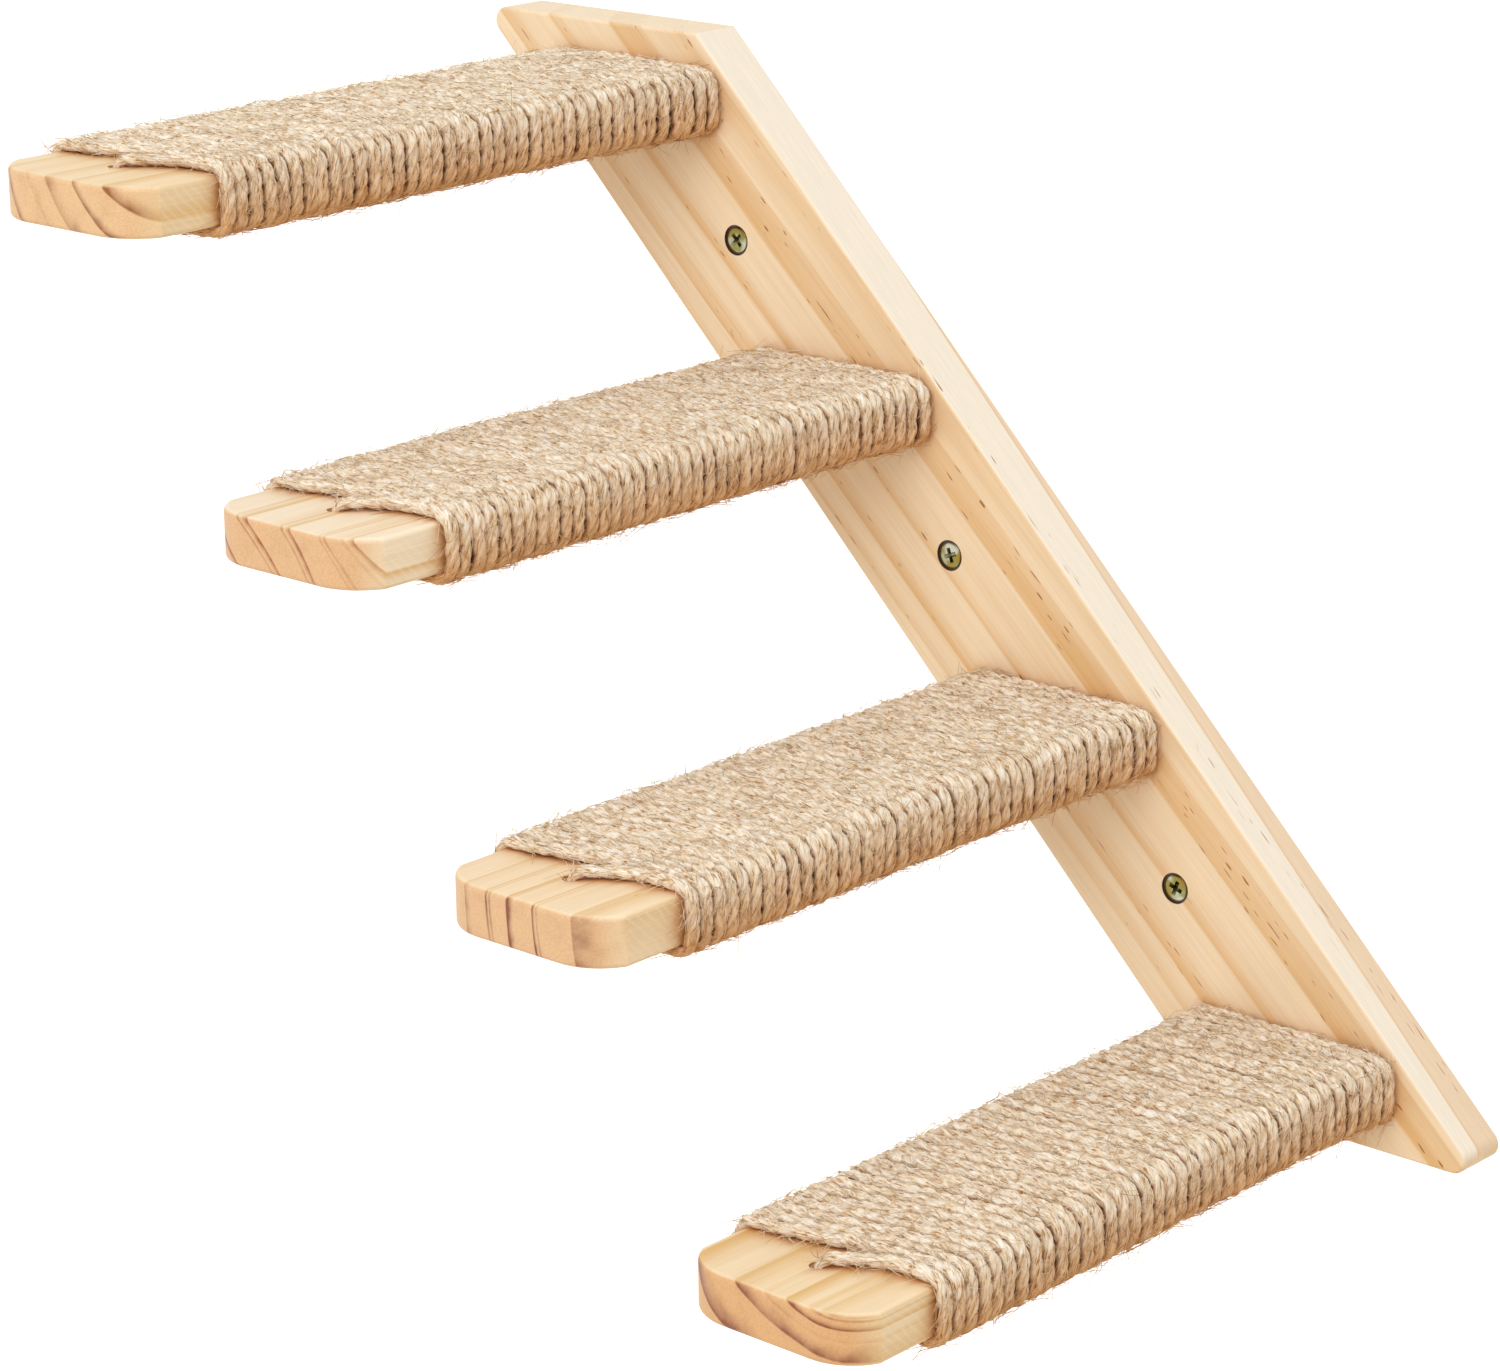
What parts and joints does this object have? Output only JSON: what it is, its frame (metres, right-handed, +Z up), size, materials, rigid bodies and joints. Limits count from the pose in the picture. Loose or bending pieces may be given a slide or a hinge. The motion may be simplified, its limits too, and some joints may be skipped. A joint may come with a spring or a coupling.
{
  "type": "wall-mounted cat staircase",
  "caption": "Slanted pine wall board with staggered cantilever pine steps wound in jute rope, held by countersunk wall screws in plugs; a climbing staircase for cats.",
  "frame": {"origin": "on the wall plane, on the axis of the middle wall screw and plug, half way between the second and third step", "axes": "+Y into the wall, so the room and the steps are on -Y; +X to the right along the wall; +Z up"},
  "size_m": [0.5167, 0.379, 0.4064],
  "materials": {
    "pine": "sanded pine with a thin clear coat",
    "jute_rope": "twisted jute rope",
    "zinc_steel": "yellow zinc plated steel",
    "plug_nylon": "moulded grey nylon"
  },
  "bodies": {
    "root": {"backboard": "pine", "step_plank_1": "pine", "step_plank_2": "pine", "step_plank_3": "pine", "step_plank_4": "pine", "rope_wrap_1": "jute_rope", "rope_wrap_2": "jute_rope", "rope_wrap_3": "jute_rope", "rope_wrap_4": "jute_rope", "step_1_screws": "zinc_steel", "step_2_screws": "zinc_steel", "step_3_screws": "zinc_steel", "step_4_screws": "zinc_steel", "wall_screws": "zinc_steel", "wall_plugs": "plug_nylon"}
  },
  "joints": []
}
